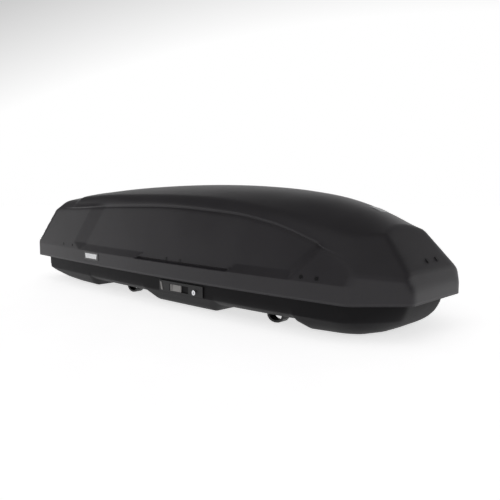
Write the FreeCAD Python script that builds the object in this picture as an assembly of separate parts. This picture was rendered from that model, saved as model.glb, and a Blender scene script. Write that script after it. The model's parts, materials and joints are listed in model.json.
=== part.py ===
import FreeCAD, Part
import math
import os

# Roof cargo box: a tray-shaped base that clamps to two crossbars and a
# hinged lid that overlaps it. Millimetres, +Z up, +X toward the nose,
# -Y toward the lock side. The origin is under the middle of the box on
# the plane its three floor bellies rest on.

V = FreeCAD.Vector

# Overall lid size
LENGTH = 1900.0
HALF_WIDTH = 315.0
WIDEST_X = -7.0
REAR_BOW = 0.0000332
FRONT_BOW = 0.0000564
CORNER_X = 813.0
NOSE_HALF = 145.0

# Heights of the lid
RIM = 112.0
BAND = 57.0
LEDGE = 62.0
SHOULDER_IN = 62.0
DROP = 0.8
CROWN_SHARE = 0.8
CROWN_Y = 110.0
LID_WALL = 4.0
PLATE = 3.0

# Base
BASE_IN = 36.0
BASE_WALL = 4.0
FLANGE_IN = 16.0
FLANGE_LOW = 113.0
FLANGE_TOP = 116.0
CHANNEL_Z = 28.0
SHAVE = 1.0
WIDE_CUT = 400.0

# Lid hinge line and its three hinges
HINGE_Y = 278.0
HINGE_Z = 124.0
HINGES = {"rear": -640.0, "mid": 20.0, "front": 620.0}
PIN_R = 3.0
RUN_FIT = 0.05
BARREL_R = 5.5
BARREL_HALF = 15.0
EAR = 8.0

# Latches: web position along the box, and the plate that holds the web
LATCHES = {"rear": (-660.0, -712.0, -608.0),
           "mid": (20.0, 8.0, 132.0),
           "front": (680.0, 646.0, 728.0)}
ROD_Y = -234.0
ROD_Z = 96.0
ROD_R = 4.0

# Lid struts: both pivots lie on one circle about the hinge line
STRUT_RADIUS = 300.0
STRUT_LID_DEG = 45.0
STRUT_BASE_DEG = -15.0
STRUTS = {"rear": -735.0, "front": 690.0}
TUBE_R = 9.0
TUBE_BORE = 6.5
STEM_R = 4.0

# Crossbar clamps
CLAMP_Y = 190.0
CLAMPS = {"rear": -305.0, "front": 488.0}
SLOT_HALF_X = 75.0
SLOT_HALF_Y = 18.0
JAW_PIVOT_X = 24.0
JAW_PIVOT_Z = 46.0
PLATE_TOP = 34.0

# Lid sections: x, ledge depth, panel depth, then the heights above the rim
# of the side ridge, the shoulder ridge and the crown
LID_STATIONS = [
    (-952.0, 2.0, 24.0, 218.0, 241.0, 262.0),
    (-757.0, 2.0, 24.0, 228.0, 253.0, 276.0),
    (-640.0, 2.0, 24.0, 233.0, 267.0, 290.0),
    (-594.0, 2.0, 24.0, 234.0, 280.0, 303.0),
    (-510.0, 14.0, 24.0, 239.0, 287.0, 311.0),
    (-395.0, 14.0, 35.0, 245.0, 292.0, 320.0),
    (-200.0, 14.0, 35.0, 253.0, 297.0, 330.0),
    (26.0, 14.0, 35.0, 258.0, 299.0, 335.0),
    (242.0, 14.0, 35.0, 251.0, 293.0, 331.0),
    (432.0, 14.0, 35.0, 236.0, 273.0, 318.0),
    (569.0, 14.0, 35.0, 208.0, 250.0, 300.0),
    (606.0, 14.0, 35.0, 197.0, 240.0, 293.0),
    (640.0, 2.0, 35.0, 185.0, 231.0, 286.0),
    (695.0, 2.0, 34.0, 166.0, 214.0, 273.0),
    (740.0, 2.0, 24.0, 151.0, 196.0, 256.0),
    (800.0, 2.0, 24.0, 132.0, 174.0, 238.0),
    (883.0, 2.0, 24.0, 110.0, 150.0, 209.0),
    (952.0, 2.0, 24.0, 92.0, 125.0, 178.0),
]

# Underside height of the base along the box: three bellies, two channels
BASE_STATIONS = [
    (-952.0, 62.0),
    (-914.0, 50.0),
    (-880.0, 30.0),
    (-800.0, 10.0),
    (-700.0, 2.0),
    (-540.0, 0.0),
    (-500.0, CHANNEL_Z),
    (-150.0, CHANNEL_Z),
    (-110.0, 0.0),
    (240.0, 0.0),
    (285.0, CHANNEL_Z),
    (580.0, CHANNEL_Z),
    (622.0, 1.0),
    (700.0, 0.0),
    (780.0, 1.0),
    (823.0, 10.0),
    (877.0, 34.0),
    (914.0, 64.0),
    (952.0, 96.0),
]

os.makedirs("parts", exist_ok=True)
written = {}


def save(name, *shapes):
    """Write one node; several shapes become separate solids of one group."""
    solids = []
    for shape in shapes:
        solids.extend(shape.Solids)
    whole = solids[0] if len(solids) == 1 else Part.makeCompound(solids)
    whole.exportStep("parts/" + name + ".step")
    written[name] = whole


def box(x0, x1, y0, y1, z0, z1):
    return Part.makeBox(x1 - x0, y1 - y0, z1 - z0, V(x0, y0, z0))


def rod_x(x0, x1, y, z, r):
    return Part.makeCylinder(r, x1 - x0, V(x0, y, z), V(1, 0, 0))


def rod_y(x, y0, y1, z, r):
    return Part.makeCylinder(r, y1 - y0, V(x, y0, z), V(0, 1, 0))


def rod_z(x, y, z0, z1, r):
    return Part.makeCylinder(r, z1 - z0, V(x, y, z0))


def fuse(shapes):
    whole = shapes[0].multiFuse(shapes[1:]) if len(shapes) > 1 else shapes[0]
    return whole.removeSplitter()


def half_width(x):
    bow = REAR_BOW if x < WIDEST_X else FRONT_BOW
    return HALF_WIDTH - bow * (x - WIDEST_X) ** 2


def plan_prism(inset, z0, z1):
    """Upright block with the lid's outline seen from above, drawn in."""
    rear = -LENGTH / 2 + inset
    front = LENGTH / 2 - inset
    corner_y = half_width(CORNER_X)
    run = LENGTH / 2 - CORNER_X
    fall = corner_y - NOSE_HALF
    slope = fall / run
    shift = inset * math.hypot(1.0, slope)

    def chamfer_y(x):
        return corner_y - slope * (x - CORNER_X) - shift

    corner = CORNER_X
    for step in range(30):
        gap = chamfer_y(corner) - (half_width(corner) - inset)
        corner += gap / slope
    nose_y = chamfer_y(front)
    side = [V(x, inset - half_width(x), z0) for x in (rear, WIDEST_X, corner)]
    far = [V(p.x, -p.y, z0) for p in side]
    nose = V(front, -nose_y, z0)
    nose_far = V(front, nose_y, z0)
    edges = [
        Part.Arc(side[0], side[1], side[2]).toShape(),
        Part.makeLine(side[2], nose),
        Part.makeLine(nose, nose_far),
        Part.makeLine(nose_far, far[2]),
        Part.Arc(far[2], far[1], far[0]).toShape(),
        Part.makeLine(far[0], side[0]),
    ]
    face = Part.Face(Part.Wire(edges))
    return face.extrude(V(0, 0, z1 - z0))


def plan_ring(outer, inner, z0, z1):
    return plan_prism(outer, z0, z1).cut(plan_prism(inner, z0 - 1, z1 + 1))


def section_wire(x, half):
    """Closed section at x from the points of its near half, low to high."""
    near = [V(x, -y, z) for y, z in half]
    far = [V(x, y, z) for y, z in reversed(half) if y > 0]
    return Part.makePolygon(near + far + [near[0]])


def below_plane(point, normal, size=4000.0):
    """Large block filling the side of a plane its normal points to."""
    block = Part.makeBox(size, size, size, V(-size / 2, -size / 2, 0))
    turn = FreeCAD.Rotation(V(0, 0, 1), normal)
    block.Placement = FreeCAD.Placement(point, turn)
    return block


def lid_solid(inset, skirt):
    """Lid as a full block, every face drawn in by inset."""
    sections = []
    for x, ledge_in, side_in, side, shoulder, crown in LID_STATIONS:
        w = half_width(x) - inset
        mid = shoulder + CROWN_SHARE * (crown - shoulder)
        half = [
            (w, RIM - skirt),
            (w, RIM + BAND - DROP * inset),
            (w - ledge_in, RIM + LEDGE - DROP * inset),
            (w - side_in, RIM + side - 0.4 * inset),
            (w - SHOULDER_IN, RIM + shoulder - inset),
            (CROWN_Y, RIM + mid - inset),
            (0.0, RIM + crown - inset),
        ]
        sections.append(section_wire(x, half))
    body = Part.makeLoft(sections, True, True)
    body = body.common(plan_prism(inset, RIM - skirt, RIM + 400.0))
    cuts = [
        (V(-950, 0, 68), V(-190, 0, 193)),
        (V(950, 0, 68), V(23, 0, 20)),
        (V(930, 0, 91), V(118, 0, 47)),
        (V(813, -268, 100), V(0.577, -0.504, 0.642)),
        (V(813, -268, 100), V(0.395, -0.644, 0.655)),
    ]
    cuts += [(V(p.x, -p.y, p.z), V(n.x, -n.y, n.z)) for p, n in cuts[3:]]
    for point, normal in cuts:
        unit = V(normal).normalize()
        spot = point + V(0, 0, RIM) - unit * inset
        body = body.cut(below_plane(spot, unit))
    return body


def underside(rise):
    """Everything below the floor line, so that each stretch of floor is flat."""
    line = [V(x, -WIDE_CUT, floor + rise) for x, floor in BASE_STATIONS]
    low = [V(line[-1].x, -WIDE_CUT, -WIDE_CUT), V(line[0].x, -WIDE_CUT, -WIDE_CUT)]
    face = Part.Face(Part.makePolygon(line + low + [line[0]]))
    return face.extrude(V(0, 2 * WIDE_CUT, 0))


def base_solid(inset, rise, top):
    """Base tray as a full block; its wall is drawn in and floor raised."""
    sections = []
    for x, floor in BASE_STATIONS:
        w = half_width(x) - inset
        low = floor + rise - SHAVE
        half = [
            (w, top),
            (w, max(50.0, floor + 24.0)),
            (w - 12.0, low + 15.0),
            (w - 42.0, low),
            (0.0, low),
        ]
        sections.append(section_wire(x, half))
    body = Part.makeLoft(sections, True, True)
    body = body.common(plan_prism(inset, -10.0, top))
    return body.cut(underside(rise))


def lid_patch(x0, x1, y0, y1, z0, z1):
    """Plate lying against the inside of the lid, cut to a block."""
    return lid_liner.common(box(x0, x1, y0, y1, z0, z1))


def base_patch(x0, x1, y0, y1, z0, z1):
    return base_liner.common(box(x0, x1, y0, y1, z0, z1))


# Shells -------------------------------------------------------------------
lid_outer = lid_solid(0.0, 0.0)
lid_inner = lid_solid(LID_WALL, 5.0)
lid_liner = lid_inner.cut(lid_solid(LID_WALL + PLATE, 6.0))
lid_shell = lid_outer.cut(lid_inner)

base_outer = base_solid(BASE_IN, 0.0, FLANGE_LOW + 1.0)
base_inner = base_solid(BASE_IN + BASE_WALL, BASE_WALL, 160.0)
base_liner = base_inner.cut(base_solid(BASE_IN + BASE_WALL + PLATE, BASE_WALL + PLATE, 161.0))
flange = plan_ring(FLANGE_IN, BASE_IN + BASE_WALL, FLANGE_LOW, FLANGE_TOP)
base_shell = fuse([base_outer.cut(base_inner), flange])

# Slots through the floor for the clamp jaws
for x in CLAMPS.values():
    for side in (-1, 1):
        y = side * CLAMP_Y
        slot = box(x - SLOT_HALF_X, x + SLOT_HALF_X, y - SLOT_HALF_Y, y + SLOT_HALF_Y, 20, 40)
        base_shell = base_shell.cut(slot)

# Lock block on the outside of the near wall
LOCK_X0 = -20.0
LOCK_X1 = 217.0
LOCK_Z0 = 55.0
LOCK_Z1 = 96.0
HANDLE_X0 = 44.0
HANDLE_X1 = 102.0
KEY_X = 177.0
KEY_Z = 71.0
KEY_R = 9.0
near_y = -400.0

base_shell = base_shell.cut(box(90, 130, near_y, -260, 68, 80))
base_shell = base_shell.cut(rod_y(KEY_X, near_y, -240, KEY_Z, KEY_R + 1.0))
save("base_shell", base_shell)
save("lid_shell", lid_shell)

trim = plan_ring(FLANGE_IN - 1, FLANGE_IN + 6, FLANGE_LOW - 1, FLANGE_TOP + 1)
trim = trim.cut(plan_ring(FLANGE_IN, FLANGE_IN + 6.5, FLANGE_LOW, FLANGE_TOP))
trim = trim.cut([box(x - 26, x + 26, 240, 400, 100, 130) for x in HINGES.values()])
save("rim_trim", trim)

lock_housing = plan_ring(30, BASE_IN, LOCK_Z0, LOCK_Z1)
lock_housing = lock_housing.common(box(LOCK_X0, LOCK_X1, near_y, 0, LOCK_Z0, LOCK_Z1))
lock_housing = lock_housing.cut(box(HANDLE_X0 - 4, 142, near_y, 0, 61, 87))
lock_housing = lock_housing.cut(rod_y(KEY_X, near_y, 0, KEY_Z, KEY_R + RUN_FIT))
save("lock_housing", lock_housing)

slit = Part.Face(Part.makePolygon([V(-15, near_y, 90), V(-6, near_y, 90), V(1, near_y, 61),
                                   V(-8, near_y, 61), V(-15, near_y, 90)]))
slit = slit.extrude(V(0, 300, 0)).common(plan_ring(28.5, 30, 60, 92))
save("lock_indicator", slit)

grip = plan_ring(30.5, 35.6, 62, 86).common(box(HANDLE_X0, HANDLE_X1, near_y, 0, 62, 86))
thumb = plan_ring(27, 31, 64, 84).common(box(HANDLE_X0 + 4, HANDLE_X0 + 10, near_y, 0, 64, 84))
lug = plan_prism(31, 70, 78).common(box(95, 102, near_y, -244, 70, 78))
save("slide_handle", fuse([grip, thumb, lug]))

key = rod_y(KEY_X, -288, -262, KEY_Z, KEY_R)
key = key.cut(box(KEY_X - 1, KEY_X + 1, -289, -284, KEY_Z - 5, KEY_Z + 5))
cam = box(KEY_X - 5, KEY_X + 5, -262, -258, KEY_Z - 8, KEY_Z + 24)
save("key_cylinder", fuse([key, cam]))

# Latch rod with its three fingers and the yoke the handle pushes. It is
# drawn back here; sliding it toward the nose puts each finger through the
# window of a striker and locks the lid down.
rod_parts = [rod_x(-712, 745, ROD_Y, ROD_Z, ROD_R)]
for x, plate0, plate1 in LATCHES.values():
    rod_parts.append(box(x - 46, x - 36, ROD_Y - 6, ROD_Y + 6, 88, 114))
    rod_parts.append(box(x - 36, x - 12, ROD_Y - 4, ROD_Y + 4, 106, 114))
yoke = box(92, 106, -252, ROD_Y + 5, 66, 101)
yoke = yoke.cut(box(94.6, 102.4, -253, -242, 69, 79))
save("latch_rod", fuse(rod_parts + [yoke]))

for name, (x, plate0, plate1) in LATCHES.items():
    block = base_inner.common(box(x - 54, x + 20, -330, -222, 84, 112))
    pocket = box(x - 48, x + 14, -252, -200, 86, 140)
    guide = rod_x(x - 60, x + 30, ROD_Y, ROD_Z, ROD_R + RUN_FIT)
    save("latch_guide_" + name, block.cut(pocket).cut(guide))
    web_y = max(-248.0, BASE_IN + BASE_WALL + 4 - half_width(x))
    web = Part.Face(Part.makePolygon([
        V(x - 2, -320, 168), V(x - 2, -320, 126), V(x - 2, web_y, 126), V(x - 2, web_y, 100),
        V(x - 2, -220, 100), V(x - 2, -220, 134), V(x - 2, -262, 168), V(x - 2, -320, 168)]))
    web = web.extrude(V(4, 0, 0)).common(lid_inner)
    web = web.cut(box(x - 5, x + 5, ROD_Y - 7, ROD_Y + 7, 103, 117))
    plate = lid_patch(plate0, plate1, -400, -200, RIM + 14, RIM + 84)
    save("striker_" + name, fuse([plate, web]))

# Hinges -------------------------------------------------------------------
for name, x in HINGES.items():
    hub = rod_x(x - BARREL_HALF, x + BARREL_HALF, HINGE_Y, HINGE_Z, BARREL_R)
    tongue = box(x - BARREL_HALF, x + BARREL_HALF, 200, HINGE_Y, FLANGE_TOP, FLANGE_TOP + 5)
    tongue = tongue.cut(box(x - 50, x + 50, 190, half_width(x) - 43.0, 0, 200))
    wall = base_patch(x - 30, x + 30, 200, 400, 74, FLANGE_TOP)
    neck = base_patch(x - BARREL_HALF, x + BARREL_HALF, 200, 400, FLANGE_TOP - 1, FLANGE_TOP + 5)
    bracket = fuse([hub, tongue, neck, wall])
    bracket = bracket.cut(rod_x(x - 40, x + 40, HINGE_Y, HINGE_Z, PIN_R + RUN_FIT))
    save("hinge_base_" + name, bracket)

    ears = []
    for x0 in (x - BARREL_HALF - 0.5 - EAR, x + BARREL_HALF + 0.5):
        ear = Part.Face(Part.makePolygon([
            V(x0, HINGE_Y - 6, HINGE_Z), V(x0, HINGE_Y + 5.5, HINGE_Z + 3),
            V(x0, HINGE_Y + 20, HINGE_Z + 18), V(x0, 340, HINGE_Z + 18),
            V(x0, 340, HINGE_Z + 40), V(x0, HINGE_Y - 6, HINGE_Z + 40),
            V(x0, HINGE_Y - 6, HINGE_Z)]))
        ears.append(ear.extrude(V(EAR, 0, 0)).common(lid_inner))
        ears.append(rod_x(x0, x0 + EAR, HINGE_Y, HINGE_Z, 6.0))
    plate = lid_patch(x - 45, x + 45, 200, 400, RIM + 28, RIM + 84)
    leaf = fuse(ears + [plate])
    leaf = leaf.cut(rod_x(x - 50, x + 50, HINGE_Y, HINGE_Z, PIN_R))
    save("hinge_lid_" + name, leaf)
    pin = rod_x(x - 26, x + 26, HINGE_Y, HINGE_Z, PIN_R)
    save("hinge_pin_" + name, pin)

# Struts -------------------------------------------------------------------
lid_angle = math.radians(STRUT_LID_DEG)
base_angle = math.radians(STRUT_BASE_DEG)
PY = HINGE_Y - STRUT_RADIUS * math.cos(lid_angle)
PZ = HINGE_Z + STRUT_RADIUS * math.sin(lid_angle)
BY = HINGE_Y - STRUT_RADIUS * math.cos(base_angle)
BZ = HINGE_Z + STRUT_RADIUS * math.sin(base_angle)
along = V(0, PY - BY, PZ - BZ).normalize()
STRUT_PIN = 4.0
EYE_R = 8.0
EYE_HALF = 8.0
CHEEK_X = 9.5
CHEEK = 3.0
PIN_END = CHEEK_X + CHEEK
TUBE_LONG = 255.0
STEM_LONG = 272.0


def on_strut(x, from_base):
    return V(x, BY, BZ) + along * from_base


for name, x in STRUTS.items():
    eye = rod_x(x - EYE_HALF, x + EYE_HALF, BY, BZ, EYE_R)
    tube = Part.makeCylinder(TUBE_R, TUBE_LONG - 4, on_strut(x, 4), along)
    tube = tube.fuse(eye)
    tube = tube.cut(Part.makeCylinder(TUBE_BORE, TUBE_LONG - 28, on_strut(x, 18), along))
    tube = tube.cut(Part.makeCylinder(STEM_R + RUN_FIT, 40, on_strut(x, TUBE_LONG - 20), along))
    tube = tube.cut(rod_x(x - 20, x + 20, BY, BZ, STRUT_PIN + RUN_FIT))
    save("strut_tube_" + name, tube.removeSplitter())

    closed = 2 * STRUT_RADIUS * math.sin((lid_angle - base_angle) / 2)
    stem = Part.makeCylinder(STEM_R, STEM_LONG, on_strut(x, closed - STEM_LONG), along)
    piston = Part.makeCylinder(TUBE_BORE - RUN_FIT, 12, on_strut(x, closed - STEM_LONG), along)
    eye = rod_x(x - EYE_HALF, x + EYE_HALF, PY, PZ, EYE_R)
    stem = fuse([stem, piston, eye])
    stem = stem.cut(rod_x(x - 20, x + 20, PY, PZ, STRUT_PIN + RUN_FIT))
    save("strut_stem_" + name, stem)

    starts = (x - PIN_END, x + CHEEK_X)
    cheeks = [box(x0, x0 + CHEEK, BY - 12, BY + 12, -5, BZ + 9) for x0 in starts]
    foot = base_patch(x - 32, x + 32, BY - 26, BY + 26, -5, 40)
    pin = rod_x(x - PIN_END, x + PIN_END, BY, BZ, STRUT_PIN)
    stand = fuse([foot, pin] + [cheek.common(base_inner) for cheek in cheeks])
    save("strut_foot_" + name, stand)

    cheeks = [box(x0, x0 + CHEEK, PY - 12, PY + 12, PZ - 9, 460) for x0 in starts]
    crown = lid_patch(x - 32, x + 32, PY - 26, PY + 26, 300, 460)
    pin = rod_x(x - PIN_END, x + PIN_END, PY, PZ, STRUT_PIN)
    hanger = fuse([crown, pin] + [cheek.common(lid_inner) for cheek in cheeks])
    save("strut_hanger_" + name, hanger)

# Lid stiffening bands across the roof -------------------------------------
for name, x in {"rear": -430.0, "front": 330.0}.items():
    save("lid_band_" + name, lid_patch(x - 25, x + 25, -400, 400, RIM + 150, RIM + 400))
save("nose_plate", lid_patch(860, 946, -14, 76, RIM + 96, RIM + 132))

# Screws through the lid: shank and domed head lying on the outer face -------
SCREW_R = 3.0
HEAD_R = 6.0


def screw_solid(reach):
    """Screw along a long bar: the head follows the outside of the lid."""
    head = lid_grown.common(reach(HEAD_R)).cut(lid_outer)
    shank = reach(SCREW_R).common(lid_outer).cut(lid_core)
    return head.fuse(shank).removeSplitter()


def side_bar(x, side):
    """Bar across the near or far wall at screw height."""
    y = side * half_width(x)

    def bar(r):
        return rod_y(x, y - 30, y + 30, RIM + SCREW_UP, r)
    return bar


def nose_bar(y):
    def bar(r):
        return rod_x(860, 960, y, RIM + 114, r)
    return bar


lid_grown = lid_solid(-2.5, 0.0)
lid_core = lid_solid(LID_WALL + PLATE, 6.0)
SCREW_UP = 70.3
near_pairs = {"rear": (-700.0, -620.0), "mid": (43.0, 120.0), "front": (660.0, 714.0)}
near_bars = {name: [side_bar(x, -1) for x in pair] for name, pair in near_pairs.items()}
far_bars = {name: [side_bar(x - 37, 1), side_bar(x + 37, 1)] for name, x in HINGES.items()}
nose_bars = [nose_bar(2.0), nose_bar(60.0)]


def drill(name, bars):
    """Take the screw holes out of a piece and write it again."""
    save(name, written[name].cut([bar(SCREW_R) for bar in bars]))


near_all = [bar for pair in near_bars.values() for bar in pair]
far_all = [bar for pair in far_bars.values() for bar in pair]
drill("lid_shell", near_all + far_all + nose_bars)
for name in LATCHES:
    drill("striker_" + name, near_bars[name])
for name in HINGES:
    drill("hinge_lid_" + name, far_bars[name])
drill("nose_plate", nose_bars)
save("screws_near", *[screw_solid(bar) for bar in near_all])
save("screws_far", *[screw_solid(bar) for bar in far_all])
save("screws_nose", *[screw_solid(bar) for bar in nose_bars])

# Plain badge on the near band, toward the rear ------------------------------
badge = lid_solid(-1.2, 0.0).common(box(-503, -396, -400, 0, RIM + 21, RIM + 53))
save("badge_plate", badge.cut(lid_outer))

# Crossbar clamps -------------------------------------------------------------
JAW_POINTS = [(1, 2), (14, 3.5), (26, 9), (34, 18), (36, 28), (35, 40), (30, 48),
              (20, 44), (26, 38), (28, 29), (26, 21), (20, 14), (12, 10.5), (1, 9)]
HOUSING_TOP = 72.0
SPINDLE_R = 5.0


def jaw(x, y, side):
    """One hook; side +1 is the half toward the nose."""
    outline = [V(x + side * px, y - 15, pz) for px, pz in JAW_POINTS]
    blade = Part.Face(Part.makePolygon(outline + [outline[0]])).extrude(V(0, 30, 0))
    pivot = x + side * JAW_PIVOT_X
    hub = rod_y(pivot, y - 15, y + 15, JAW_PIVOT_Z, 7.0)
    return fuse([blade, hub]).cut(rod_y(pivot, y - 20, y + 20, JAW_PIVOT_Z, 3.0 + RUN_FIT))


def clamp_name(row, side):
    return row + ("_near" if side < 0 else "_far")


for row, x in CLAMPS.items():
    for side in (-1, 1):
        y = side * CLAMP_Y
        tag = clamp_name(row, side)
        plate = box(x - 88, x + 88, y - 24, y + 24, CHANNEL_Z + BASE_WALL, PLATE_TOP)
        plate = plate.common(base_inner)
        gap = box(x - SLOT_HALF_X, x + SLOT_HALF_X, y - SLOT_HALF_Y, y + SLOT_HALF_Y, 20, 40)
        save("floor_plate_" + tag, plate.cut(gap))

        body = box(x - 56, x + 56, y - 24, y + 24, PLATE_TOP + 0.1, HOUSING_TOP)
        body = body.cut(box(x - 52, x + 52, y - 17, y + 17, 30, 66))
        body = body.cut(rod_z(x, y, 60, 80, SPINDLE_R + RUN_FIT))
        pins = [rod_y(x + s * JAW_PIVOT_X, y - 18, y + 18, JAW_PIVOT_Z, 3.0) for s in (-1, 1)]
        save("clamp_body_" + tag, fuse([body] + pins))

        knob = rod_z(x, y, HOUSING_TOP + 0.5, HOUSING_TOP + 22, 25.0)
        for index in range(8):
            turn = math.radians(45 * index)
            knob = knob.cut(rod_z(x + 28 * math.cos(turn), y + 28 * math.sin(turn), 70, 110, 7.0))
        knob = knob.fuse(rod_z(x, y, 62, HOUSING_TOP + 1, SPINDLE_R)).removeSplitter()
        save("clamp_knob_" + tag, knob)
        save("clamp_jaw_a_" + tag, jaw(x, y, -1))
        save("clamp_jaw_b_" + tag, jaw(x, y, 1))

for name in sorted(written):
    shape = written[name]
    bounds = shape.BoundBox
    print(name, len(shape.Solids), shape.isValid(), round(shape.Volume),
          [round(v, 1) for v in (bounds.XMin, bounds.XMax, bounds.YMin, bounds.YMax,
                                 bounds.ZMin, bounds.ZMax)])
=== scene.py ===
import bpy
import json
import math
import numpy as np
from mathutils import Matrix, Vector


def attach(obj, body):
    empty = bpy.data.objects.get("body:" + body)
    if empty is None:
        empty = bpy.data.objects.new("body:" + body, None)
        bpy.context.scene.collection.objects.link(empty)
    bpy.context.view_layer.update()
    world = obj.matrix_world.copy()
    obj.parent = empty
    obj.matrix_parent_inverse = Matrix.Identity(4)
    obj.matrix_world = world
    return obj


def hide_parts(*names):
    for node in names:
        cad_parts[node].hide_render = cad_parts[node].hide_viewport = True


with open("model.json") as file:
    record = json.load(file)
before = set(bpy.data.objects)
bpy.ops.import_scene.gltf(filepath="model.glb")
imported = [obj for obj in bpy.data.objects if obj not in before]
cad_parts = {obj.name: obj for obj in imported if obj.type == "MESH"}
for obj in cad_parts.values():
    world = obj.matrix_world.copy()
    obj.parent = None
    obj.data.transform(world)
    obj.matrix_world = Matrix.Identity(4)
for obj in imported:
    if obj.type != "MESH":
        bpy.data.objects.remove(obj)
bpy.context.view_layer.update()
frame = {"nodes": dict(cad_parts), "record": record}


# Camera, floor and light ---------------------------------------------------
# A pale sweep under a dim ceiling: the sides of the box pick up soft grey,
# its upper faces stay dark and its far edges catch the bright backdrop. The
# camera stands off the nose on the lock side, a little above the roof.
camera_data = bpy.data.cameras.new("camera")
camera_data.lens = 43.2
camera_data.sensor_width = 36.0
camera = bpy.data.objects.new("camera", camera_data)
bpy.context.scene.collection.objects.link(camera)
yaw = -0.764
pitch = 0.1149
level = math.cos(pitch)
forward = Vector((math.sin(yaw) * level, math.cos(yaw) * level, -math.sin(pitch)))
camera.location = (1.7608, -1.6528, 0.4633)
camera.rotation_euler = forward.to_track_quat("-Z", "Y").to_euler()
bpy.context.scene.camera = camera

bpy.context.scene.view_settings.view_transform = "Standard"
world = bpy.data.worlds.new("studio")
world.use_nodes = True
sky = world.node_tree
around = sky.nodes.new("ShaderNodeTexCoord")
toward = sky.nodes.new("ShaderNodeVectorMath")
toward.operation = "DOT_PRODUCT"
toward.inputs[1].default_value = (-0.33, 0.58, -0.744)
sky.links.new(around.outputs["Generated"], toward.inputs[0])
shifted = sky.nodes.new("ShaderNodeMapRange")
shifted.inputs["From Min"].default_value = -1.0
sky.links.new(toward.outputs["Value"], shifted.inputs["Value"])
fade = sky.nodes.new("ShaderNodeValToRGB")
fade.color_ramp.elements[0].position = 0.06
fade.color_ramp.elements[0].color = (0.62, 0.615, 0.62, 1)
fade.color_ramp.elements[1].position = 0.73
fade.color_ramp.elements[1].color = (1.0, 1.0, 1.0, 1)
for place, value in ((0.26, 0.15), (0.60, 0.20)):
    fade.color_ramp.elements.new(place).color = (value, value * 0.985, value, 1)
sky.links.new(shifted.outputs["Result"], fade.inputs["Fac"])
sky.links.new(fade.outputs["Color"], sky.nodes["Background"].inputs["Color"])
sky.nodes["Background"].inputs["Strength"].default_value = 1.0
bpy.context.scene.world = world

floor_half = 9.0
floor_drop = -0.001
floor_corners = [(x * floor_half, y * floor_half, floor_drop)
                 for x, y in ((-1, -1), (1, -1), (1, 1), (-1, 1))]
floor_mesh = bpy.data.meshes.new("floor")
floor_mesh.from_pydata(floor_corners, [], [(0, 1, 2, 3)])
floor = bpy.data.objects.new("floor", floor_mesh)
bpy.context.scene.collection.objects.link(floor)

for name, place, aim, size, power in (
        ("left_light", (-3.6, -1.6, 0.9), (-0.5, 0, 0.2), 1.6, 5),
        ("nose_light", (3.2, 2.6, 0.9), (0.8, 0, 0.2), 1.6, 6),
        ("near_light", (1.6, -3.6, 0.7), (0.4, 0, 0.2), 1.6, 2)):
    light_data = bpy.data.lights.new(name, "AREA")
    light_data.size = size
    light_data.energy = power
    light = bpy.data.objects.new(name, light_data)
    light.location = place
    light.rotation_euler = (Vector(aim) - Vector(place)).to_track_quat("-Z", "Y").to_euler()
    bpy.context.scene.collection.objects.link(light)


# Finishes of the moulded and metal pieces -------------------------------------
# The shells are vacuum-formed ABS, the fittings moulded nylon and plated or
# coated steel, the rim trim rubber. Each piece made as a solid gets the finish
# of its slot and a small bevel on its edges.
def linear(text):
    """Linear colour from a hex sRGB one."""
    values = [int(text[i:i + 2], 16) / 255 for i in (1, 3, 5)]
    return [v / 12.92 if v < 0.04045 else ((v + 0.055) / 1.055) ** 2.4 for v in values] + [1.0]


def node(tree, kind, links=None, **values):
    """Add one shader node, set its named inputs and connect its links."""
    made = tree.nodes.new(kind)
    for key, value in values.items():
        if key in made.inputs:
            made.inputs[key].default_value = value
        else:
            setattr(made, key, value)
    for socket, source in (links or {}).items():
        tree.links.new(source, made.inputs[socket])
    return made


def plastic(name, dark, light, rough, grain_mm, bump, coat=0.0, gloss=0.36):
    """Plastic, rubber, coating or paper: grain of a size in mm, faint cloudiness."""
    made = bpy.data.materials.new(name)
    made.use_nodes = True
    tree = made.node_tree
    shader = tree.nodes["Principled BSDF"]
    where = node(tree, "ShaderNodeTexCoord").outputs["Object"]
    grain = node(tree, "ShaderNodeTexNoise", {"Vector": where}, Scale=1000 / grain_mm, Detail=3.0)
    cloud = node(tree, "ShaderNodeTexNoise", {"Vector": where}, Scale=5.0, Detail=4.0)
    tint = node(tree, "ShaderNodeValToRGB", {"Fac": cloud.outputs["Fac"]})
    tint.color_ramp.elements[0].position = 0.35
    tint.color_ramp.elements[1].position = 0.65
    tint.color_ramp.elements[0].color = linear(dark)
    tint.color_ramp.elements[1].color = linear(light)
    tree.links.new(tint.outputs["Color"], shader.inputs["Base Color"])
    spread = node(tree, "ShaderNodeMapRange", {"Value": grain.outputs["Fac"]})
    spread.inputs["To Min"].default_value = rough - 0.05
    spread.inputs["To Max"].default_value = rough + 0.08
    tree.links.new(spread.outputs["Result"], shader.inputs["Roughness"])
    relief = node(tree, "ShaderNodeBump", {"Height": grain.outputs["Fac"]}, Strength=bump, Distance=0.0004)
    tree.links.new(relief.outputs["Normal"], shader.inputs["Normal"])
    shader.inputs["Specular IOR Level"].default_value = gloss
    shader.inputs["Coat Weight"].default_value = coat
    return made


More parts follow.
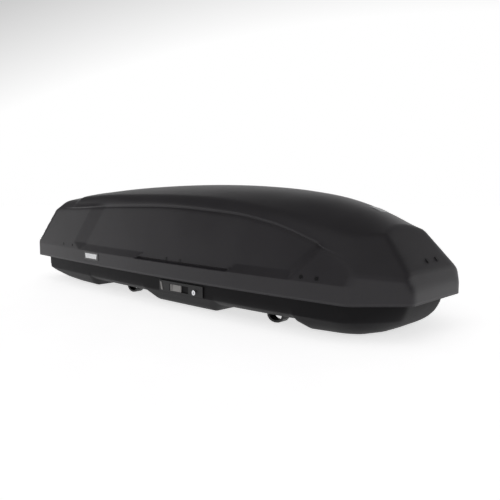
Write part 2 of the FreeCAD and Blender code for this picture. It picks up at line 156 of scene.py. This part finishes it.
def metal(name, colour, rough, scratch):
    """Plated metal with fine lines drawn along X."""
    made = bpy.data.materials.new(name)
    made.use_nodes = True
    tree = made.node_tree
    shader = tree.nodes["Principled BSDF"]
    where = node(tree, "ShaderNodeTexCoord").outputs["Object"]
    stretch = node(tree, "ShaderNodeMapping", {"Vector": where})
    stretch.inputs["Scale"].default_value = (1, 40, 40)
    lines = node(tree, "ShaderNodeTexNoise", {"Vector": stretch.outputs["Vector"]}, Scale=60.0, Detail=4.0)
    spread = node(tree, "ShaderNodeMapRange", {"Value": lines.outputs["Fac"]})
    spread.inputs["To Min"].default_value = max(0.04, rough - scratch)
    spread.inputs["To Max"].default_value = rough + scratch
    tree.links.new(spread.outputs["Result"], shader.inputs["Roughness"])
    shader.inputs["Base Color"].default_value = linear(colour)
    shader.inputs["Metallic"].default_value = 1.0
    return made


# Lid sheet: satin charcoal ABS, its fine grain breaks up the highlights
lid_skin = plastic("charcoal_abs_fine_grain", "#232124", "#282629", 0.4, 0.6, 0.25)
# Base sheet: black ABS, coarser grain and hardly any shine. Its colour is also darker than the plastic's
# own, as painted shade for the underside of the box
base_skin = plastic("black_abs_coarse_grain_painted_shade", "#111012", "#151416", 0.5, 0.9, 0.35, gloss=0.12)
# Lock housing and rod guides: moulded nylon, smooth black with a soft shine
black_nylon = plastic("black_nylon_smooth", "#151416", "#19181a", 0.36, 0.5, 0.15)
# Slide handle and lock indicator: moulded nylon, grey with a soft shine
grey_nylon = plastic("grey_nylon_moulded", "#858381", "#8e8c8a", 0.4, 0.5, 0.15)
# Clamp bodies and knobs: glass-filled nylon, a duller and rougher black
clamp_nylon = plastic("black_glass_filled_nylon", "#17161a", "#1d1c1f", 0.48, 0.8, 0.3)
# Rim trim: extruded rubber, dull black
trim_rubber = plastic("black_rubber_extruded", "#121214", "#171719", 0.65, 0.8, 0.2)
# Badge: pale satin insert in a glossy black frame
badge_pale = plastic("satin_silver_badge_insert", "#e2e3e4", "#ececed", 0.35, 0.5, 0.05)
badge_gloss = plastic("black_badge_gloss", "#0c0c0e", "#101012", 0.15, 0.8, 0.02, 0.4)
# Key cylinder: polished chrome, near mirror with faint lines
key_chrome = metal("polished_chrome_lock", "#dcdde0", 0.12, 0.06)
# Brackets, plates, hinge pins and latch rod: zinc plate, dull grey
zinc = metal("zinc_plated_pressing", "#a9abac", 0.38, 0.1)
# Strut stems: ground chrome, bright with faint lines
rod_chrome = metal("ground_chrome_rod", "#c4c6c8", 0.16, 0.06)
# Clamp jaws and strut tubes: powder-coated steel, black with a pebbled skin
black_coat = plastic("black_powder_coat_steel", "#131315", "#1a1a1c", 0.34, 0.7, 0.4)
# Screws: black plate, the darkest and fairly glossy
screw_black = plastic("black_plated_screw", "#0b0b0c", "#111112", 0.3, 0.4, 0.1)
# Sweep: near-white paper with a glow of its own, to stay pale in dim light
floor_paint = plastic("pale_sweep_paper", "#f4f4f4", "#f8f8f8", 0.9, 2.0, 0.02)
floor_shader = floor_paint.node_tree.nodes["Principled BSDF"]
floor_shader.inputs["Emission Color"].default_value = (1, 1, 1, 1)
floor_shader.inputs["Emission Strength"].default_value = 0.68
floor.data.materials.append(floor_paint)
finishes = {
    "lid_plastic": lid_skin, "base_plastic": base_skin, "black_plastic": black_nylon,
    "grey_plastic": grey_nylon, "lock_chrome": key_chrome, "badge": badge_gloss,
    "black_screw": screw_black, "clamp_plastic": clamp_nylon, "jaw_steel": black_coat,
    "strut_paint": black_coat, "steel": rod_chrome, "zinc_steel": zinc, "rubber_trim": trim_rubber,
}
for entry in frame["record"]["subparts"]:
    piece = frame["nodes"][entry["node"]]
    piece.data.materials.clear()
    piece.data.materials.append(finishes[entry["material_slot"]])
    piece.data.polygons.foreach_set("use_smooth", [True] * len(piece.data.polygons))
    edge = piece.modifiers.new("edge", "BEVEL")
    edge.width = 0.0006
    edge.segments = 2
    edge.limit_method = "ANGLE"
    edge.angle_limit = math.radians(40)
    edge.harden_normals = True


# Lid shell -------------------------------------------------------------------
# One vacuum-formed sheet of charcoal ABS, about 4 mm thick. Straight band at
# the rim, a drawn-in panel on each side, a raised roof, a cut-off tail and a
# nose made of soft facets. Everything here is in millimetres above the rim.
RIM = 112.0
END = 950.0
BAND_TOP = 57.0
LEDGE_TOP = 82.0
PANEL_LEAN = 24.0
PANEL_DEPTH = 12.0
PANEL_LEFT = -601.0
PANEL_RIGHT = 614.0
GROOVE_LEFT = -134.0
GROOVE_RIGHT = 356.0
GROOVE_DEPTH = 3.5
SEAM_DEPTH = 3.0
TAIL_SEAM = 15.0
SHOULDER_STEP = 7.0
FACE_TOP = 68.0
CORNER_X = 813.0
CORNER_Y = 278.6

# Along the box: x, then the side ridge, shoulder ridge and crown heights
stations = np.array([
    (-952, 222, 262, 290), (-757, 230, 268, 294), (-600, 234, 281, 303), (-440, 243, 291, 317),
    (-200, 253, 297, 330), (26, 258, 299, 335), (242, 251, 293, 331), (432, 236, 273, 318),
    (569, 208, 250, 299), (695, 166, 212, 265), (813, 128, 166, 219), (883, 110, 148, 197),
    (952, 92, 125, 172)], float)


def follow(x, column):
    """Smooth curve through one column of the stations."""
    xs = stations[:, 0]
    ys = stations[:, column]
    slope = np.gradient(ys, xs)
    i = np.clip(np.searchsorted(xs, x) - 1, 0, len(xs) - 2)
    h = xs[i + 1] - xs[i]
    t = np.clip((x - xs[i]) / h, 0, 1)
    return ((2 * t ** 3 - 3 * t ** 2 + 1) * ys[i] + (t ** 3 - 2 * t ** 2 + t) * h * slope[i]
            + (3 * t ** 2 - 2 * t ** 3) * ys[i + 1] + (t ** 3 - t ** 2) * h * slope[i + 1])


def half_width(x):
    """Half the width at x: widest near the middle, tapering to both ends."""
    return 315 - np.where(x < -7, 0.0000332, 0.0000564) * (x + 7) ** 2


def step(a, b, x):
    """Smooth rise from 0 at a to 1 at b."""
    t = np.clip((x - a) / (b - a), 0, 1)
    return t * t * (3 - 2 * t)


def blunt(a, b, k):
    """Larger of two distances, with the corner between them rounded."""
    return np.maximum(a, b) + np.maximum(k - np.abs(a - b), 0) ** 2 / (4 * k)


def facing(run, rise, length, dx, dz):
    """Distance past a sloping face, from the offsets to a point on it."""
    return (run * dx + rise * dz) / length


def tail_slope(x, z):
    """Sloping face of the cut-off tail, from the top of its upright part."""
    return facing(-193, 190, 270.8, x + END, z - FACE_TOP)


def side_inset(x, z, ridge):
    """How far the side stands in from the rim at height z."""
    up = z - BAND_TOP
    lean = PANEL_LEAN * np.clip(up / (ridge - BAND_TOP), 0, 1)
    left = PANEL_LEFT + np.where(z > 86, (z - 86) * 0.81, (86 - z) * 1.65)
    right = PANEL_RIGHT + (z - 58) * 1.02
    inside = np.minimum((x - left) / 84, (right - x) / 32)
    groove_span = np.minimum(x - GROOVE_LEFT - up * 1.5, GROOVE_RIGHT + up * 1.4 - x)
    ledge = np.where(groove_span > 0, (z - 56.5) / 2.5, up / (LEDGE_TOP - BAND_TOP))
    depth = np.clip(np.minimum(inside, ledge), 0, 1)
    groove = GROOVE_DEPTH * step(0, 4, groove_span) * step(56, 57.5, z) * (1 - step(62, 64, z))
    past_ridge = np.maximum(z - ridge, 0)
    above = step(0, 12, z - ridge)
    ridge_line = np.abs(z - ridge + 2)
    tail_line = np.abs(tail_slope(x, z) + TAIL_SEAM) + past_ridge + 0.3 * np.maximum(100 - z, 0)
    seam = SEAM_DEPTH * (1 - step(1, 5.5, np.minimum(ridge_line, tail_line)))
    recess = PANEL_DEPTH * depth * (1 - above) + groove
    upper = above * (SHOULDER_STEP + 0.42 * past_ridge)
    return lean + recess + upper + seam


def lid_distance(x, y, z):
    """Negative inside the lid, positive outside; about millimetres."""
    w = half_width(x)
    side = np.abs(y)
    ridge = follow(x, 1)
    shoulder = follow(x, 2)
    crown = follow(x, 3)
    lowered = 9 * (1 - step(-655, -605, x))
    wall = side - w + side_inset(x, z, ridge)
    roof = shoulder + (crown - shoulder) * (1 - (side / (w - 62)) ** 2) - lowered
    top = (z - roof) / 1.06
    bank = (side - (w - 50) + z - (shoulder - 10 - lowered)) * 0.707
    shape = blunt(blunt(wall, bank, 5), top, 7)
    tail = blunt(-END - x, tail_slope(x, z), 4)
    shape = blunt(shape, tail, 4)
    shape = blunt(shape, facing(118, 47, 127.0, x - 930, z - 91), 8)
    shape = blunt(shape, facing(23, 20, 30.5, x - END, z - FACE_TOP), 4)
    shape = blunt(shape, x - END, 4)
    shape = blunt(shape, facing(132, 137, 190.2, x - CORNER_X, side - CORNER_Y), 10)
    for n in ((0.577, 0.504, 0.642), (0.395, 0.644, 0.655)):
        facet = n[0] * (x - CORNER_X) + n[1] * (side - 268) + n[2] * (z - 100)
        shape = blunt(shape, facet, 6)
    return shape


def walk_round(reach, gap, turns):
    """Columns of rays round a stadium: where each starts and its heading."""
    straight = np.linspace(-reach, reach, int(2 * reach / gap) + 1)
    arc = np.linspace(-math.pi / 2, math.pi / 2, turns + 2)[1:-1]
    start = np.concatenate([straight, np.full(turns, reach), straight[::-1], np.full(turns, -reach)])
    head = np.concatenate([np.full(len(straight), -math.pi / 2), arc,
                           np.full(len(straight), math.pi / 2), arc + math.pi])
    return start, head


def cast(distance, start, head, rise, floor_z):
    """Grid of points where the rays leave the shape: rows of rise, columns round."""
    dx = np.cos(head)[None, :] * np.cos(rise)
    dy = np.sin(head)[None, :] * np.cos(rise)
    dz = np.sin(rise)
    low = np.zeros_like(dx)
    high = np.full_like(dx, 420.0)
    for turn in range(34):
        middle = (low + high) / 2
        out = distance(start[None, :] + dx * middle, dy * middle, floor_z + dz * middle) > 0
        high = np.where(out, middle, high)
        low = np.where(out, low, middle)
    return start[None, :], dx, dy, dz, low


def grid_faces(rows, columns, first, flip):
    """Quads of a grid that closes on itself along its columns."""
    faces = []
    for r in range(rows - 1):
        for c in range(columns):
            a = first + r * columns + c
            b = first + r * columns + (c + 1) % columns
            quad = (a, b, b + columns, a + columns)
            faces.append(quad[::-1] if flip else quad)
    return faces


def shell(name, distance, start, head, rise, floor_z, offset_z, wall, flip):
    """Outer and inner skins of one moulding joined along the rim."""
    ox, dx, dy, dz, r = cast(distance, start, head, rise, floor_z)
    rows, columns = r.shape
    outer = np.stack([ox + dx * r, dy * r, floor_z + dz * r + offset_z], -1).reshape(-1, 3)
    coarse = list(range(0, rows, 3)) + ([rows - 1] if (rows - 1) % 3 else [])
    r_in = (r - wall)[coarse]
    inner = np.stack([ox + dx[coarse] * r_in, dy[coarse] * r_in,
                      floor_z + dz[coarse] * r_in + offset_z], -1).reshape(-1, 3)
    first = len(outer)
    faces = grid_faces(rows, columns, 0, flip) + grid_faces(len(coarse), columns, first, not flip)
    for c in range(columns):
        d = (c + 1) % columns
        quad = (c, d, first + d, first + c)
        faces.append(quad if flip else quad[::-1])
    mesh = bpy.data.meshes.new(name)
    mesh.from_pydata((np.vstack([outer, inner]) / 1000).tolist(), [], faces)
    mesh.polygons.foreach_set("use_smooth", [True] * len(mesh.polygons))
    mesh.validate()
    made = bpy.data.objects.new(name, mesh)
    bpy.context.scene.collection.objects.link(made)
    merge = made.modifiers.new("merge", "WELD")
    merge.merge_threshold = 0.0002
    return made


# Rays start LID_EYE above the rim, with rows of them close together at the
# groove and the ridge. LID_SHEET is the wall's thickness along a ray.
LID_EYE = 90.0
LID_SHEET = 4.5
lid_start, lid_head = walk_round(900.0, 7.5, 80)
ridge_height = follow(lid_start, 1)[None, :]
low_rows = np.concatenate([np.linspace(0, 54, 7), np.linspace(56, 65, 8), np.linspace(68, 88, 8)])
low_rows = low_rows[:, None]
mid_rows = 92 + (ridge_height - 98) * np.linspace(0, 1, 22)[:, None]
seam_rows = ridge_height + np.linspace(-6, 4, 9)[:, None]
side_rows = np.vstack([low_rows + 0 * ridge_height, mid_rows, seam_rows])
plan_reach = cast(lid_distance, lid_start, lid_head, 0 * ridge_height, 30.0)[4]
side_reach = plan_reach - side_inset(lid_start[None, :], side_rows, ridge_height)
side_rise = np.arctan2(side_rows - LID_EYE, side_reach)
roof_rise = side_rise[-1] + (math.pi / 2 - side_rise[-1]) * np.linspace(0, 1, 47)[1:, None]
lid_rise = np.vstack([side_rise, roof_rise])
lid = shell("lid_skin", lid_distance, lid_start, lid_head, lid_rise, LID_EYE, RIM, LID_SHEET, False)
lid.data.materials.append(lid_skin)
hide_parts("lid_shell")
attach(lid, "lid")


# Badge insert ----------------------------------------------------------------
# A plain satin plate with slanted ends, pressed into the black badge frame on
# the near band. It carries no lettering.
insert_outline = [(-494, 27), (-409, 27), (-405, 47), (-498, 47)]
insert_points = []
for lift in (0.9, 1.9):
    for x, z in insert_outline:
        insert_points.append((x / 1000, -(half_width(x) + lift) / 1000, (RIM + z) / 1000))
insert_faces = [(3, 2, 1, 0), (4, 5, 6, 7)]
insert_faces += [(k, (k + 1) % 4, (k + 1) % 4 + 4, k + 4) for k in range(4)]
insert_mesh = bpy.data.meshes.new("badge_insert")
insert_mesh.from_pydata(insert_points, [], insert_faces)
insert_mesh.materials.append(badge_pale)
insert = bpy.data.objects.new("badge_insert", insert_mesh)
bpy.context.scene.collection.objects.link(insert)
soft = insert.modifiers.new("edge", "BEVEL")
soft.width = 0.0004
soft.segments = 3
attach(insert, "lid")


# Base tray -------------------------------------------------------------------
# One vacuum-formed sheet of black ABS, 4 mm thick: three rounded bellies with
# two channels for the crossbars between them, a bow that sweeps up at the
# nose, a flat flange under the lid and four slots for the clamp jaws.
BASE_IN = 36.0
BASE_SHEET = 4.0
TRAY_TOP = 114.0
FLANGE_IN = 16.0
FLANGE_LOW = 113.0
FLANGE_TOP = 116.0
CLAMP_X = (-305, 488)
CLAMP_Y = (-190, 190)
SLOT_X = 75
SLOT_Y = 18
SLOT_LOW = 10
SLOT_HIGH = 50

# Underside height along the box: three bellies with two channels between
floor_line = np.array([
    (-952, 62), (-914, 50), (-880, 30), (-800, 10), (-700, 2), (-565, 0), (-525, 28), (-140, 28),
    (-96, 0), (215, 0), (262, 28), (590, 28), (632, 1), (780, 1), (823, 8), (877, 30), (914, 58),
    (952, 92)], float)


def plan_distance(x, side, inset, soft_corner):
    """Negative inside the outline seen from above, drawn in by inset."""
    slant = facing(132, 137, 190.2, x - CORNER_X + inset, side - CORNER_Y + inset)
    wall = blunt(side - half_width(x) + inset, slant, soft_corner)
    return blunt(wall, np.abs(x) - END + inset, soft_corner * 0.5)


def base_distance(x, y, z):
    """Negative inside the tray, positive outside, with z the true height."""
    under = np.interp(x, floor_line[:, 0], floor_line[:, 1]) - z
    bow = np.clip((x - 560) / 350, 0, 1)
    lean = 0.9 * np.maximum(54 - z, 0)
    soft_corner = 12 + 30 * bow * np.clip((84 - z) / 60, 0, 1)
    wall = plan_distance(x, np.abs(y) + lean, BASE_IN, soft_corner)
    in_channel = 0.8 * np.clip(under + z, 0, 28) * (np.abs(x) < 600)
    return blunt(wall, under, 24 + 50 * bow + in_channel)


base_start, base_head = walk_round(862.0, 6.0, 60)
base_rise = -np.concatenate([np.linspace(0, 0.62, 44), np.linspace(0.66, math.pi / 2, 26)])[:, None]
base_rise = base_rise + 0 * base_start[None, :]
base = shell("base_skin", base_distance, base_start, base_head, base_rise, TRAY_TOP, 0.0,
             BASE_SHEET, True)
slots = bpy.data.objects.new("slots", bpy.data.meshes.new("slots"))
slot_points = []
slot_faces = []
slot_corners = ((-SLOT_X, -SLOT_Y), (SLOT_X, -SLOT_Y), (SLOT_X, SLOT_Y), (-SLOT_X, SLOT_Y))
for x in CLAMP_X:
    for y in CLAMP_Y:
        first = len(slot_points)
        for z in (SLOT_LOW, SLOT_HIGH):
            slot_points += [((x + dx) / 1000, (y + dy) / 1000, z / 1000) for dx, dy in slot_corners]
        slot_faces += [tuple(first + k for k in face) for face in (
            (3, 2, 1, 0), (4, 5, 6, 7), (0, 1, 5, 4), (1, 2, 6, 5), (2, 3, 7, 6), (3, 0, 4, 7))]
slots.data.from_pydata(slot_points, [], slot_faces)
bpy.context.scene.collection.objects.link(slots)
cut = base.modifiers.new("slots", "BOOLEAN")
cut.object = slots
cut.solver = "EXACT"
cut.operation = "DIFFERENCE"
bpy.context.view_layer.update()
base.data = bpy.data.meshes.new_from_object(base.evaluated_get(bpy.context.evaluated_depsgraph_get()))
base.modifiers.clear()
bpy.data.objects.remove(slots)

# Flange: a flat ring from the tray wall out toward the lid
level_rays = 0 * base_start[None, :]
flange_rays = cast(
    lambda x, y, z: plan_distance(x, np.abs(y), FLANGE_IN, 12), base_start, base_head,
    level_rays, 0.0)
flange_x, flange_dx, flange_dy = flange_rays[:3]
flange_out = flange_rays[4]
flange_in = cast(
    lambda x, y, z: plan_distance(x, np.abs(y), BASE_IN + 3, 14), base_start, base_head,
    level_rays, 0.0)[4]
rings = []
for reach, height in ((flange_in, FLANGE_LOW), (flange_out, FLANGE_LOW),
                      (flange_out, FLANGE_TOP), (flange_in, FLANGE_TOP)):
    ring = np.stack([flange_x + flange_dx * reach, flange_dy * reach, 0 * reach + height], -1)
    rings.append(ring.reshape(-1, 3))
turns = len(base_start)
flange_faces = []
for r in range(4):
    for c in range(turns):
        d = (c + 1) % turns
        e = (r + 1) % 4
        flange_faces.append((r * turns + c, r * turns + d, e * turns + d, e * turns + c))
flange_mesh = bpy.data.meshes.new("base_flange")
flange_mesh.from_pydata((np.vstack(rings) / 1000).tolist(), [], flange_faces)
flange = bpy.data.objects.new("base_flange", flange_mesh)
bpy.context.scene.collection.objects.link(flange)
with bpy.context.temp_override(active_object=base, selected_editable_objects=[base, flange]):
    bpy.ops.object.join()
base.data.materials.clear()
# The base colour is black ABS plus painted shade for its underside
base.data.materials.append(base_skin)
base.data.polygons.foreach_set("use_smooth", [True] * len(base.data.polygons))
base.data.set_sharp_from_angle(angle=math.radians(35))
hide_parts("base_shell")
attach(base, "base")
